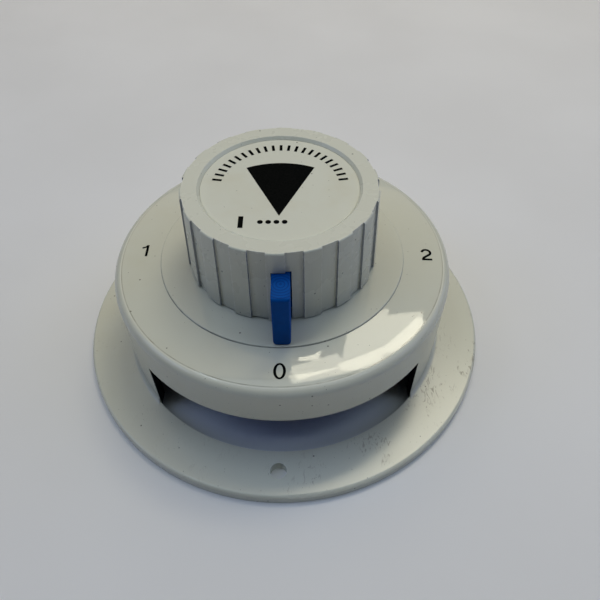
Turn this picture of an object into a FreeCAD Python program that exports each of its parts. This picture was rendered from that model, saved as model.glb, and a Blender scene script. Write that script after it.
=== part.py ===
"""Surface-mounted rotary battery switch: a flanged round cover with a cable slot, a ribbed knob with a
pointer fin, and below them the spindle, rotor, contacts and terminals.

Frame: millimetres, +Z up out of the mounting surface, origin at the centre of the flange's underside.
A bearing is an angle about +Z counted from the front (-Y, the 0 mark) towards the right (+X).
"""
import FreeCAD, Part

import math
import os

from FreeCAD import Vector

# Driving dimensions: cover
FLANGE_R = 75.0
FLANGE_T = 4.0
FLANGE_EDGE_R = 1.0          # rounding of the flange's upper rim
WALL_R = 58.8                # outside of the cover's wall
WALL_T = 3.6
WALL_FOOT_R = 1.6            # concave fillet between wall and flange
SHOULDER_R = 55.95           # where the dial face turns into the rounded shoulder
SHOULDER_Z = 38.8
SHOULDER_DROP = 3.0          # height of the rounded band under that edge
PLATEAU_R = 42.5             # raised disc under the knob
PLATEAU_Z = 40.0
DIAL_INNER_Z = 39.45         # dial face at the foot of the plateau
CEILING_Z = 36.4             # underside of the cover's top

# Driving dimensions: cable slot and flange holes
SLOT_X = 0.75                # middle of the slot
SLOT_HALF_WIDTH = 44.55
SLOT_TOP_Z = 24.1
SLOT_SILL_R = 59.2           # edge of the flange below the slot
HOLE_R = 2.75                # clearance hole for an M5 screw
HOLE_PITCH_R = 66.0
HOLE_BEARINGS = (-1.0, 119.0, -121.0)
THIRDS = (0.0, 120.0, -120.0)

# Driving dimensions: knob
KNOB_TOP_Z = 68.8
KNOB_BOTTOM_Z = 40.6
RIB_COUNT = 18
KNOB_RIM_R = 31.05           # edge of the flat top
RIB_TOP_R = 31.65            # the ribs begin a little below that edge
RIB_BOTTOM_R = 32.65
RIB_DROP = 0.6               # height of the sloping upper end of a rib
GROOVE_BOTTOM_R = 31.85      # the grooves between the ribs run up to the rim
RIB_PHASE = -1.5             # bearing of the rib nearest the front
KNOB_CAVITY_R = 28.6
RECESS_R = 26.2              # rim of the recess in the knob's top
RECESS_BEVEL = 0.9
CAP_T = 1.5
KNOB_WEB_T = 2.6             # thickness of the knob's top under the cap
HUB_R = 9.5
HUB_BOTTOM_Z = 46.5
KNOB_RIB_T = 1.8

# Driving dimensions: pointer fin
FIN_REACH_R = 41.8
FIN_TOP_Z = 61.1
FIN_BOTTOM_Z = 40.4
FIN_W = 5.5
FIN_EDGE_R = 0.6             # rounding of the two upright edges at the front
FIN_TOP_EDGE_R = 1.0
FIN_CORNER_R = 1.2
FIN_X = 0.65                 # middle of the fin
FIN_SLOT_X = 0.7             # middle of its slot, so that a fine gap shows on the right
FIN_SLOT_W = 6.1
FIN_FOOT_HALF_ANGLE = 13.0

# Driving dimensions: spindle and its bearing
SPINDLE_R = 5.0
SPINDLE_TOP_Z = 60.4
FLAT_DEPTH = 1.4             # depth of the flat that drives the knob
PILOT_R = 4.0
PILOT_BOTTOM_Z = 20.4
PILOT_SHOULDER_Z = 27.6
RUN = 0.05                   # radial running clearance
FIT = 0.02                   # radial clearance between parts that are fixed together
BUSH_R = 7.0
BUSH_FLANGE_R = 9.6
BUSH_FLANGE_T = 1.5
BUSH_TOP_Z = 43.4
BOSS_R = 11.5
BOSS_TOP_Z = 46.0
O_RING_SECTION_R = 0.96
CLIP_Z = 30.0
CLIP_T = 0.8
DRIVE_PIN_R = 1.25
DRIVE_PIN_Z = 33.4
KNOB_SCREW_R = 2.5
KNOB_SCREW_SEAT_Z = SPINDLE_TOP_Z + 2.3
KNOB_POCKET_R = 5.8

# Driving dimensions: contact base and terminals
BASE_R = 47.0
BASE_BOTTOM_Z = 22.0
BASE_TOP_Z = 27.0
PAD_TOP_Z = 28.0
PAD_T = 2.2
ARC_IN_R = 28.5
ARC_OUT_R = 37.0
ARC_START = 56.0             # bearing where each battery's contact begins
ARC_END = 174.5              # and ends, just short of the back
RING_IN_R = 11.0
RING_OUT_R = 19.0
COMMON_TAB_W = 14.0
STUD_R = 5.0
STUD_PITCH_R = 33.0
STUD_HEAD_R = 7.6
STUD_PAD_R = 10.0            # round pad of each contact under its stud's head
STUD_END_Z = 4.0
STUD_GROOVE_DEPTH = 0.3      # thread undercut just below the nut
STUD_GROOVE_W = 0.8
NUT_FLATS = 17.0
NUT_H = 8.0
FLAT_WASHER_R = 10.0
FLAT_WASHER_T = 2.0
SPRING_WASHER_R = 9.0
SPRING_WASHER_T = 2.2
BARRIER_T = 3.0
BARRIER_BOTTOM_Z = 9.0
BASE_SCREW_R = 2.0
BASE_SCREW_PITCH_R = 42.5
BASE_SCREW_BEARINGS = (30.0, 150.0, -150.0, -30.0)
POST_R = 4.0

# Driving dimensions: rotor, moving contact and detent
ROTOR_R = 24.0
ROTOR_BOTTOM_Z = 31.0
ROTOR_RIM_Z = 32.0
ROTOR_TOP_Z = 35.6
ROTOR_HUB_R = 10.5
NOTCH_R = 3.3
NOTCH_CENTRE_R = 26.0
CONTACT_W = 14.0
CONTACT_IN_R = 12.5
CONTACT_OUT_R = 37.0
CONTACT_BOTTOM_Z = 28.8
CONTACT_TOP_Z = 30.5
FOOT_GAP = 0.1               # air gap under the contact's feet
PRESSURE_SPRING_R = 2.4
PRESSURE_SPRING_PITCH_R = 19.5
PRESSURE_SPRING_WIRE_R = 0.4
LEAF_T = 0.6
LEAF_X = 26.0                # outer face of each leaf spring
LEAF_NOSE_R = 3.0
LEAF_HALF_L = 27.0
LEAF_BOTTOM_Z = 32.4
LEAF_TOP_Z = 35.4
LEAF_POST_Y = 25.5
LEAF_POST_R = 3.2


# ---------------------------------------------------------------- shape helpers

def polar(radius, bearing, z=0.0):
    """Point at a radius and bearing."""
    angle = math.radians(bearing)
    return Vector(radius * math.sin(angle), -radius * math.cos(angle), z)


def turned(shape, bearing):
    """Copy of a shape built at the front, carried round to a bearing."""
    copy = shape.copy()
    copy.rotate(Vector(0, 0, 0), Vector(0, 0, 1), bearing)
    return copy


def tube(r_out, r_in, z0, z1):
    """Ring about the axis."""
    return disc(r_out, z0, z1).cut(disc(r_in, z0 - 1.0, z1 + 1.0))


def disc(radius, z0, z1, centre=Vector(0, 0, 0)):
    """Upright cylinder."""
    return Part.makeCylinder(radius, z1 - z0, Vector(centre.x, centre.y, z0))


def block(x0, x1, y0, y1, z0, z1):
    """Box between two corners."""
    return Part.makeBox(x1 - x0, y1 - y0, z1 - z0, Vector(x0, y0, z0))


def sector(r_in, r_out, z0, z1, start, end):
    """Part of a ring between two bearings."""
    corners = [polar(r_in, start, z0), polar(r_out, start, z0), polar(r_out, end, z0), polar(r_in, end, z0)]
    middle = (start + end) / 2
    outline = Part.Wire([
        Part.LineSegment(corners[0], corners[1]).toShape(),
        Part.Arc(corners[1], polar(r_out, middle, z0), corners[2]).toShape(),
        Part.LineSegment(corners[2], corners[3]).toShape(),
        Part.Arc(corners[3], polar(r_in, middle, z0), corners[0]).toShape(),
    ])
    return Part.Face(outline).extrude(Vector(0, 0, z1 - z0))


def spun(path):
    """Solid turned from a half section. Each entry is (radius, z), or (radius, z, mid_radius, mid_z) for an
    arc through the mid point that ends there."""
    points = [Vector(entry[0], 0, entry[1]) for entry in path]
    edges = []
    for i, entry in enumerate(path):
        start = points[i - 1]
        if len(entry) == 4:
            edges.append(Part.Arc(start, Vector(entry[2], 0, entry[3]), points[i]).toShape())
        else:
            edges.append(Part.LineSegment(start, points[i]).toShape())
    edges = edges[1:] + edges[:1]
    face = Part.Face(Part.Wire(edges))
    return face.revolve(Vector(0, 0, 0), Vector(0, 0, 1), 360)


def hexagon(flats, z0, z1, centre):
    """Hexagonal prism."""
    corner_r = flats / math.sqrt(3)
    corners = [centre + polar(corner_r, 60.0 * i, z0) for i in range(6)]
    return Part.Face(Part.makePolygon(corners + corners[:1])).extrude(Vector(0, 0, z1 - z0))


def joined(first, *others):
    """One solid from several that overlap."""
    result = first.fuse(list(others)).removeSplitter()
    return result.Solids[0] if len(result.Solids) == 1 else result


def save(name, *shapes):
    """Writes one sub-part, as a single solid or as a group of separate solids."""
    solids = [solid for shape in shapes for solid in shape.Solids]
    for solid in solids:
        if not solid.isValid() or solid.Volume <= 0:
            raise ValueError(f"{name} has a bad solid")
    group = solids[0] if len(solids) == 1 else Part.makeCompound(solids)
    group.exportStep(f"parts/{name}.step")
    print(f"{name}: {len(solids)} solid(s), {sum(s.Volume for s in solids):.0f} mm3")


# ---------------------------------------------------------------- cover

def slot_cutter():
    """Space that the cable slot takes out of the wall, through the flange's inner edge."""
    ring = tube(WALL_R + WALL_FOOT_R + 0.4, WALL_R - WALL_T - 8.0, FLANGE_T, SLOT_TOP_Z)
    foot = tube(SLOT_SILL_R, WALL_R - WALL_T - 8.0, -1.0, FLANGE_T)
    front = block(SLOT_X - SLOT_HALF_WIDTH, SLOT_X + SLOT_HALF_WIDTH, -FLANGE_R, -30.0, -1.0, SLOT_TOP_Z)
    return ring.fuse(foot).common(front)


def leaf_posts():
    """Slotted posts that hold the ends of the two detent springs."""
    posts = []
    for side in (-1, 1):
        middle_x = side * (LEAF_X - LEAF_T / 2)
        slit = block(middle_x - LEAF_T / 2 - RUN, middle_x + LEAF_T / 2 + RUN, -LEAF_HALF_L - RUN,
                     LEAF_HALF_L + RUN, LEAF_BOTTOM_Z - 2.0, LEAF_TOP_Z + 0.1)
        for end in (-1, 1):
            centre = Vector(middle_x, end * LEAF_POST_Y, 0)
            posts.append(disc(LEAF_POST_R, LEAF_BOTTOM_Z - 0.6, CEILING_Z + 0.5, centre).cut(slit))
    return posts


def cover_housing():
    """Cast cover: flange, wall, dial face, raised plateau, spindle boss and the posts inside it."""
    rim = FLANGE_EDGE_R * (1 - math.sqrt(0.5))
    foot = WALL_FOOT_R * (1 - math.sqrt(0.5))
    ease = 1 - math.sqrt(0.5)
    shoulder_mid = (WALL_R - ease * (WALL_R - SHOULDER_R), SHOULDER_Z - ease * SHOULDER_DROP)
    shell = spun([
        (WALL_R - WALL_T, 0.0),
        (FLANGE_R, 0.0),
        (FLANGE_R, FLANGE_T - FLANGE_EDGE_R),
        (FLANGE_R - FLANGE_EDGE_R, FLANGE_T, FLANGE_R - rim, FLANGE_T - rim),
        (WALL_R + WALL_FOOT_R, FLANGE_T),
        (WALL_R, FLANGE_T + WALL_FOOT_R, WALL_R + foot, FLANGE_T + foot),
        (WALL_R, SHOULDER_Z - SHOULDER_DROP),
        (SHOULDER_R, SHOULDER_Z, *shoulder_mid),
        (PLATEAU_R, DIAL_INNER_Z),
        (PLATEAU_R - 0.1, PLATEAU_Z - 0.15),
        (PLATEAU_R - 0.3, PLATEAU_Z),
        (BOSS_R, PLATEAU_Z),
        (BOSS_R, BOSS_TOP_Z - 0.5),
        (BOSS_R - 0.5, BOSS_TOP_Z),
        (BUSH_R + FIT, BOSS_TOP_Z),
        (BUSH_R + FIT, CEILING_Z + BUSH_FLANGE_T),
        (BUSH_FLANGE_R + FIT, CEILING_Z + BUSH_FLANGE_T),
        (BUSH_FLANGE_R + FIT, CEILING_Z),
        (WALL_R - WALL_T - 2.0, CEILING_Z),
        (WALL_R - WALL_T, CEILING_Z - 2.0, WALL_R - WALL_T - 0.6, CEILING_Z - 0.6),
    ])
    centres = [polar(BASE_SCREW_PITCH_R, b) for b in BASE_SCREW_BEARINGS]
    posts = [disc(POST_R, BASE_TOP_Z, CEILING_Z + 0.5, centre) for centre in centres]
    body = joined(shell, *posts, *leaf_posts())
    holes = [disc(HOLE_R, -1.0, FLANGE_T + 1.0, polar(HOLE_PITCH_R, b)) for b in HOLE_BEARINGS]
    taps = [disc(BASE_SCREW_R + FIT, BASE_TOP_Z - 1.0, CEILING_Z + 0.5, centre) for centre in centres]
    return body.cut(holes + taps + [slot_cutter()])


def spindle_bush():
    """Flanged bearing pressed into the cover's boss from below."""
    collar = disc(BUSH_FLANGE_R, CEILING_Z, CEILING_Z + BUSH_FLANGE_T)
    body = joined(disc(BUSH_R, CEILING_Z, BUSH_TOP_Z), collar)
    return body.cut(disc(SPINDLE_R + RUN, CEILING_Z - 1.0, BUSH_TOP_Z + 1.0))


def spindle_seal():
    """O-ring between the spindle and the boss, on top of the bush."""
    return Part.makeTorus((SPINDLE_R + BUSH_R) / 2 + RUN / 2, O_RING_SECTION_R,
                          Vector(0, 0, BUSH_TOP_Z + O_RING_SECTION_R))


# ---------------------------------------------------------------- knob

def knob_skin():
    """Tapered grooved outside of the knob, solid right through."""
    ease = 1 - math.sqrt(0.5)
    rib_end = (RIB_TOP_R - ease * (RIB_TOP_R - KNOB_RIM_R), KNOB_TOP_Z - ease * RIB_DROP)
    ribs = spun([
        (0.0, KNOB_BOTTOM_Z),
        (RIB_BOTTOM_R, KNOB_BOTTOM_Z),
        (RIB_TOP_R, KNOB_TOP_Z - RIB_DROP),
        (KNOB_RIM_R - 0.1, KNOB_TOP_Z, *rib_end),
        (0.0, KNOB_TOP_Z),
    ])
    width = 180.0 / RIB_COUNT
    margin = 0.5
    cutters = []
    for i in range(RIB_COUNT):
        start = RIB_PHASE + width / 2 + 2 * width * i
        cutters.append(sector(RIB_TOP_R - 6.0, RIB_BOTTOM_R + 3.0, KNOB_BOTTOM_Z - margin,
                              KNOB_TOP_Z + margin, start, start + width))
    groove_core = spun([
        (0.0, KNOB_BOTTOM_Z - 2 * margin),
        (GROOVE_BOTTOM_R, KNOB_BOTTOM_Z - 2 * margin),
        (KNOB_RIM_R, KNOB_TOP_Z - 0.25),
        (KNOB_RIM_R - 0.25, KNOB_TOP_Z + 2 * margin),
        (0.0, KNOB_TOP_Z + 2 * margin),
    ])
    grooves = Part.makeCompound([cutter.cut(groove_core) for cutter in cutters])
    return ribs.cut(grooves)


def rounded(solid, radius, picks):
    """Solid with its straight edges rounded where picks returns True for the edge's bounding box."""
    return solid.makeFillet(radius, [edge for edge in solid.Edges if picks(edge.BoundBox)])


def fin_blade():
    """Blade of the pointer fin, its front rounded at the top, down both sides and at the lower corners."""
    root_y, tip_y = -(KNOB_CAVITY_R - 1.2), -FIN_REACH_R
    left, right = FIN_X - FIN_W / 2, FIN_X + FIN_W / 2
    blank = block(left, right, tip_y, root_y, FIN_BOTTOM_Z, FIN_TOP_Z)
    plan = rounded(blank, FIN_EDGE_R, lambda box: box.YMax < tip_y + 0.01 and box.ZLength > 5.0)
    front = rounded(blank, FIN_CORNER_R, lambda box: box.ZMax < FIN_BOTTOM_Z + 0.01 and box.YLength > 5.0)
    side = rounded(blank, FIN_TOP_EDGE_R, lambda box: box.YMax < tip_y + 0.01 and box.ZMin > FIN_TOP_Z - 0.01)
    return plan.common(front).common(side)


def pointer_fin():
    """Coloured pointer: a blade through the knob's slot, with a foot that sits behind the knob's wall."""
    foot = sector(KNOB_CAVITY_R - 1.9, KNOB_CAVITY_R - 0.15, FIN_BOTTOM_Z + 1.7, FIN_TOP_Z - 0.6,
                  -FIN_FOOT_HALF_ANGLE, FIN_FOOT_HALF_ANGLE)
    return joined(fin_blade(), foot)


def beyond_flat(gap=0.0):
    """Space outside the spindle's drive flat."""
    reach = 2 * SPINDLE_R
    return block(-reach, reach, SPINDLE_R - FLAT_DEPTH + gap, reach, HUB_BOTTOM_Z + 2.0, KNOB_TOP_Z)


def knob_shell():
    """Moulded knob: grooved skin, recess for the cap, hub, stiffening ribs and the fin's slot and clips."""
    cap_floor_z = KNOB_TOP_Z - RECESS_BEVEL - CAP_T
    ceiling_z = cap_floor_z - KNOB_WEB_T
    recess = spun([
        (0.0, cap_floor_z),
        (RECESS_R - RECESS_BEVEL, cap_floor_z),
        (RECESS_R - RECESS_BEVEL, KNOB_TOP_Z - RECESS_BEVEL),
        (RECESS_R, KNOB_TOP_Z),
        (RECESS_R, KNOB_TOP_Z + 1.0),
        (0.0, KNOB_TOP_Z + 1.0),
    ])
    shell = knob_skin().cut(disc(KNOB_CAVITY_R, KNOB_BOTTOM_Z - 1.0, ceiling_z)).cut(recess)
    hub = disc(HUB_R, HUB_BOTTOM_Z, cap_floor_z)
    half = KNOB_RIB_T / 2
    web = block(-half, half, -KNOB_CAVITY_R - 0.5, -HUB_R + 0.5, HUB_BOTTOM_Z + 4.0, ceiling_z + 0.5)
    webs = [turned(web, 30.0 + 60.0 * i) for i in range(6)]
    clips = [sector(KNOB_CAVITY_R - 1.8, KNOB_CAVITY_R + 0.5, KNOB_BOTTOM_Z + 0.2, KNOB_BOTTOM_Z + 1.3,
                    side * FIN_FOOT_HALF_ANGLE - 3.0, side * FIN_FOOT_HALF_ANGLE + 3.0) for side in (-1, 1)]
    body = joined(shell, hub, *webs, *clips)
    slot = block(FIN_SLOT_X - FIN_SLOT_W / 2, FIN_SLOT_X + FIN_SLOT_W / 2, -RIB_BOTTOM_R - 2.0,
                 -KNOB_CAVITY_R + 3.0, KNOB_BOTTOM_Z - 1.0, FIN_TOP_Z + 0.3)
    bore = disc(SPINDLE_R + FIT, HUB_BOTTOM_Z - 1.0, SPINDLE_TOP_Z + 0.3)
    drive = bore.cut(beyond_flat(FIT))
    screw_hole = disc(KNOB_SCREW_R + 0.25, SPINDLE_TOP_Z - 1.0, KNOB_TOP_Z)
    pocket = disc(KNOB_POCKET_R, KNOB_SCREW_SEAT_Z, KNOB_TOP_Z)
    return body.cut([slot, drive, screw_hole, pocket])


def knob_cap():
    """Printed cap pressed into the recess, over the knob's screw."""
    bottom = KNOB_TOP_Z - RECESS_BEVEL - CAP_T
    cap = disc(RECESS_R - RECESS_BEVEL - FIT, bottom, KNOB_TOP_Z - RECESS_BEVEL)
    top_edge = [e for e in cap.Edges if abs(e.BoundBox.ZMin - (KNOB_TOP_Z - RECESS_BEVEL)) < 0.01]
    return cap.makeFillet(0.25, top_edge)


def knob_screw():
    """Pan-head screw that pulls the knob down on to the spindle."""
    head_z = KNOB_SCREW_SEAT_Z + 0.9
    head = spun([(0.0, head_z), (4.7, head_z), (4.7, head_z + 1.3), (3.2, head_z + 2.6, 4.3, head_z + 2.2),
                 (0.0, head_z + 2.6)])
    shank = disc(KNOB_SCREW_R, SPINDLE_TOP_Z - 9.0, head_z + 0.5)
    cross = [block(-half_x, half_x, -half_y, half_y, head_z + 1.0, head_z + 4.0)
             for half_x, half_y in ((0.5, 2.4), (2.4, 0.5))]
    return joined(head, shank).cut(cross)


def knob_screw_washer():
    """Split spring washer under the knob's screw."""
    ring = tube(4.5, KNOB_SCREW_R + 0.15, KNOB_SCREW_SEAT_Z, KNOB_SCREW_SEAT_Z + 0.9)
    return ring.cut(block(-0.35, 0.35, 0.0, 8.0, 0.0, KNOB_TOP_Z))


def knob_slip_washer():
    """Thin slippery washer between the knob's hub and the cover's boss."""
    return tube(HUB_R, SPINDLE_R + 0.3, BOSS_TOP_Z + 0.05, HUB_BOTTOM_Z)


# ---------------------------------------------------------------- spindle and rotor

def spindle():
    """Turned shaft with a pilot at the bottom, a clip groove, a cross hole and a flat for the knob."""
    shaft = spun([
        (0.0, PILOT_BOTTOM_Z),
        (PILOT_R - 0.5, PILOT_BOTTOM_Z),
        (PILOT_R, PILOT_BOTTOM_Z + 0.5),
        (PILOT_R, PILOT_SHOULDER_Z),
        (SPINDLE_R, PILOT_SHOULDER_Z),
        (SPINDLE_R, CLIP_Z - FIT),
        (SPINDLE_R - 0.8, CLIP_Z - FIT),
        (SPINDLE_R - 0.8, CLIP_Z + CLIP_T + FIT),
        (SPINDLE_R, CLIP_Z + CLIP_T + FIT),
        (SPINDLE_R, SPINDLE_TOP_Z - 0.6),
        (SPINDLE_R - 0.6, SPINDLE_TOP_Z),
        (0.0, SPINDLE_TOP_Z),
    ])
    tapped = disc(KNOB_SCREW_R + FIT, SPINDLE_TOP_Z - 12.0, KNOB_TOP_Z)
    return shaft.cut([beyond_flat(), tapped, cross_rod(DRIVE_PIN_R + FIT, 4 * SPINDLE_R)])


def cross_rod(radius, length):
    """Cylinder along X through the spindle at the drive pin's height."""
    return Part.makeCylinder(radius, length, Vector(-length / 2, 0, DRIVE_PIN_Z), Vector(1, 0, 0))


def drive_pin():
    """Roll pin through the rotor's hub and the spindle."""
    length = 2 * ROTOR_HUB_R - 1.0
    split = block(-length, length, -0.2, 0.2, DRIVE_PIN_Z, DRIVE_PIN_Z + 2 * DRIVE_PIN_R)
    return cross_rod(DRIVE_PIN_R, length).cut([cross_rod(DRIVE_PIN_R - 0.45, length + 2.0), split])


def spindle_clip():
    """E-clip under the rotor."""
    ring = tube(8.0, SPINDLE_R - 0.8 + FIT, CLIP_Z, CLIP_Z + CLIP_T)
    mouth = block(-2.8, 2.8, 0.0, 10.0, CLIP_Z - 1.0, CLIP_Z + CLIP_T + 1.0)
    reliefs = [disc(1.4, CLIP_Z - 1.0, CLIP_Z + 2.0, polar(5.2, bearing)) for bearing in (60.0, -60.0)]
    return ring.cut([mouth] + reliefs)


def thrust_washer():
    """Washer between the rotor and the bush's flange."""
    return tube(9.0, SPINDLE_R + FIT, ROTOR_TOP_Z, CEILING_Z - 0.1)


def rotor_carrier():
    """Insulating rotor: notched rim for the detent, spring pockets and cheeks that drive the contact."""
    rim = disc(ROTOR_R, ROTOR_RIM_Z, ROTOR_TOP_Z)
    rim = rim.makeFillet(0.5, [e for e in rim.Edges if e.BoundBox.ZLength < 0.01])
    hub = disc(ROTOR_HUB_R, ROTOR_BOTTOM_Z - RUN, ROTOR_TOP_Z)
    half = CONTACT_W / 2
    arm = block(-half - 2.4, half + 2.4, -ROTOR_R + 1.5, 0.0, ROTOR_BOTTOM_Z, ROTOR_RIM_Z + 1.0)
    cheeks = []
    for side in (-1, 1):
        inner, outer = sorted((side * (half + 0.2), side * (half + 2.4)))
        cheeks.append(block(inner, outer, -ROTOR_R + 2.0, -CONTACT_IN_R, CONTACT_BOTTOM_Z + 0.3,
                            ROTOR_BOTTOM_Z + 0.5))
    body = joined(rim, hub, arm, *cheeks)
    notches = [disc(NOTCH_R, ROTOR_RIM_Z - 0.5, ROTOR_TOP_Z + 1.0, polar(NOTCH_CENTRE_R, 90.0 * i))
               for i in range(4)]
    pockets = [disc(PRESSURE_SPRING_R + 0.6, ROTOR_BOTTOM_Z - 1.0, ROTOR_TOP_Z - 1.0, centre)
               for centre in pressure_spring_centres()]
    bore = disc(SPINDLE_R + FIT, 0.0, KNOB_TOP_Z)
    return body.cut(notches + pockets + [bore, cross_rod(DRIVE_PIN_R + FIT, 2 * ROTOR_HUB_R + 2.0)])


def pressure_spring_centres():
    """Where the two springs press on the moving contact."""
    return [Vector(side * 3.6, -PRESSURE_SPRING_PITCH_R, 0) for side in (-1, 1)]


def moving_contact():
    """Copper bridge from the common ring to the battery contacts, on two raised feet."""
    foot_bottom = PAD_TOP_Z + FOOT_GAP
    half = CONTACT_W / 2
    bar = block(-half, half, -CONTACT_OUT_R, -CONTACT_IN_R, CONTACT_BOTTOM_Z, CONTACT_TOP_Z)
    bar = bar.makeFillet(2.0, [e for e in bar.Edges if e.BoundBox.ZLength > 1.0])
    half -= 0.6
    feet = [block(-half, half, -RING_OUT_R + 0.8, -CONTACT_IN_R - 0.6, foot_bottom, CONTACT_BOTTOM_Z + 0.5),
            block(-half, half, -CONTACT_OUT_R + 1.4, -ARC_IN_R - 0.6, foot_bottom, CONTACT_BOTTOM_Z + 0.5)]
    return joined(bar, *feet)


def pressure_springs():
    """Two short coil springs between the rotor and the moving contact."""
    z0 = CONTACT_TOP_Z + PRESSURE_SPRING_WIRE_R + 0.02
    height = ROTOR_TOP_Z - 1.0 - PRESSURE_SPRING_WIRE_R - 0.02 - z0
    helix = Part.makeHelix(height / 3.0, height, PRESSURE_SPRING_R)
    wire_end = Part.makeCircle(PRESSURE_SPRING_WIRE_R, Vector(PRESSURE_SPRING_R, 0, 0), Vector(0, 1, 0))
    coil = Part.Wire(helix.Edges).makePipeShell([Part.Wire(wire_end)], True, True)
    return [coil.translated(centre + Vector(0, 0, z0)) for centre in pressure_spring_centres()]


def detent_spring(side):
    """Leaf spring with a rounded nose that drops into the rotor's notches."""
    z0, height = LEAF_BOTTOM_Z, LEAF_TOP_Z - LEAF_BOTTOM_Z
    nose = tube(LEAF_NOSE_R, LEAF_NOSE_R - LEAF_T, z0, z0 + height)
    nose = nose.common(block(0.0, LEAF_NOSE_R + 1.0, -LEAF_NOSE_R - 1.0, LEAF_NOSE_R + 1.0, z0, z0 + height))
    arms = []
    for end in (-1, 1):
        near, far = sorted((end * (LEAF_NOSE_R - LEAF_T), end * LEAF_HALF_L))
        arms.append(block(0.0, LEAF_T, near, far, z0, z0 + height))
    leaf = joined(nose, *arms).translated(Vector(-LEAF_X, 0, 0))
    return leaf if side < 0 else turned(leaf, 180.0)


# ---------------------------------------------------------------- contact base and terminals

def fixed_contact(side):
    """Copper arc for one battery."""
    start, end = sorted((side * ARC_START, side * ARC_END))
    floor = PAD_TOP_Z - PAD_T
    arc = sector(ARC_IN_R, ARC_OUT_R, floor, PAD_TOP_Z, start, end)
    pad = disc(STUD_PAD_R, floor, PAD_TOP_Z, polar(STUD_PITCH_R, side * 120.0))
    return joined(arc, pad).cut(stud_blank(side * 120.0, FIT))


def common_contact():
    """Copper ring under the rotor, with a tab out to the common stud."""
    floor = PAD_TOP_Z - PAD_T
    half = COMMON_TAB_W / 2
    ring = tube(RING_OUT_R, RING_IN_R, floor, PAD_TOP_Z)
    tab = block(-half, half, -STUD_PITCH_R, -RING_OUT_R + 3.0, floor, PAD_TOP_Z)
    pad = disc(STUD_PAD_R, floor, PAD_TOP_Z, polar(STUD_PITCH_R, 0.0))
    return joined(ring, tab, pad).cut(stud_blank(0.0, FIT))


def stud_blank(bearing, grow=0.0):
    """Outline of a terminal stud, with its countersunk head flush with the contact."""
    neck_z = PAD_TOP_Z - (STUD_HEAD_R - STUD_R)
    nut_z = BASE_BOTTOM_Z - FLAT_WASHER_T - SPRING_WASHER_T - NUT_H
    body = spun([
        (0.0, STUD_END_Z),
        (STUD_R - 0.8 + grow, STUD_END_Z),
        (STUD_R + grow, STUD_END_Z + 0.8),
        (STUD_R + grow, nut_z - STUD_GROOVE_W),
        (STUD_R - STUD_GROOVE_DEPTH, nut_z - STUD_GROOVE_W + STUD_GROOVE_DEPTH / 2),
        (STUD_R - STUD_GROOVE_DEPTH, nut_z - STUD_GROOVE_DEPTH / 2),
        (STUD_R + grow, nut_z),
        (STUD_R + grow, neck_z),
        (STUD_HEAD_R + grow, PAD_TOP_Z),
        (0.0, PAD_TOP_Z),
    ])
    return body.translated(polar(STUD_PITCH_R, bearing))


def contact_base():
    """Insulating base: beds for the contacts, a blind pilot bearing and barriers between the terminals."""
    plate = disc(BASE_R, BASE_BOTTOM_Z, BASE_TOP_Z)
    plate = plate.makeChamfer(0.6, [e for e in plate.Edges if e.BoundBox.ZLength < 0.01])
    pilot = disc(9.0, PILOT_BOTTOM_Z - 3.0, BASE_BOTTOM_Z + 0.5)
    half = BARRIER_T / 2
    barrier = block(-half, half, -BASE_R + 2.0, -6.0, BARRIER_BOTTOM_Z, BASE_BOTTOM_Z + 0.5)
    barriers = [turned(barrier, bearing) for bearing in (60.0, 180.0, -60.0)]
    rim = tube(RING_IN_R - 0.5, PILOT_R + 2.0, BASE_TOP_Z - 0.5, PAD_TOP_Z)
    body = joined(plate, pilot, rim, *barriers)
    floor = PAD_TOP_Z - PAD_T
    half = COMMON_TAB_W / 2 + FIT
    beds = [tube(RING_OUT_R + FIT, RING_IN_R - FIT, floor, KNOB_TOP_Z),
            block(-half, half, -STUD_PITCH_R, -RING_OUT_R + 3.0, floor, KNOB_TOP_Z)]
    for side in (-1, 1):
        start, end = sorted((side * (ARC_START - 0.1), side * (ARC_END + 0.1)))
        beds.append(sector(ARC_IN_R - FIT, ARC_OUT_R + FIT, floor, KNOB_TOP_Z, start, end))
    for bearing in THIRDS:
        beds.append(disc(STUD_PAD_R + FIT, floor, KNOB_TOP_Z, polar(STUD_PITCH_R, bearing)))
        beds.append(stud_blank(bearing, FIT))
    screw_holes = [disc(BASE_SCREW_R + 0.2, 0.0, KNOB_TOP_Z, polar(BASE_SCREW_PITCH_R, b))
                   for b in BASE_SCREW_BEARINGS]
    bearing_hole = disc(PILOT_R + RUN, PILOT_BOTTOM_Z - 0.4, KNOB_TOP_Z)
    return body.cut(beds + screw_holes + [bearing_hole])


def terminal_studs():
    """The three brass studs by name."""
    return {"terminal_stud_common": stud_blank(0.0), "terminal_stud_2": stud_blank(120.0),
            "terminal_stud_1": stud_blank(-120.0)}


def terminal_flat_washers():
    """Flat washer against the base on each stud."""
    z1 = BASE_BOTTOM_Z
    washer = disc(FLAT_WASHER_R, z1 - FLAT_WASHER_T, z1).cut(disc(STUD_R + 0.15, 0.0, z1 + 1.0))
    return [washer.translated(polar(STUD_PITCH_R, b)) for b in THIRDS]


def terminal_spring_washers():
    """Split spring washer under each flat washer."""
    z1 = BASE_BOTTOM_Z - FLAT_WASHER_T
    washer = disc(SPRING_WASHER_R, z1 - SPRING_WASHER_T, z1).cut(disc(STUD_R + 0.15, 0.0, z1 + 1.0))
    washer = washer.cut(block(-0.6, 0.6, 0.0, 20.0, 0.0, z1 + 1.0))
    return [washer.translated(polar(STUD_PITCH_R, b)) for b in THIRDS]


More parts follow.
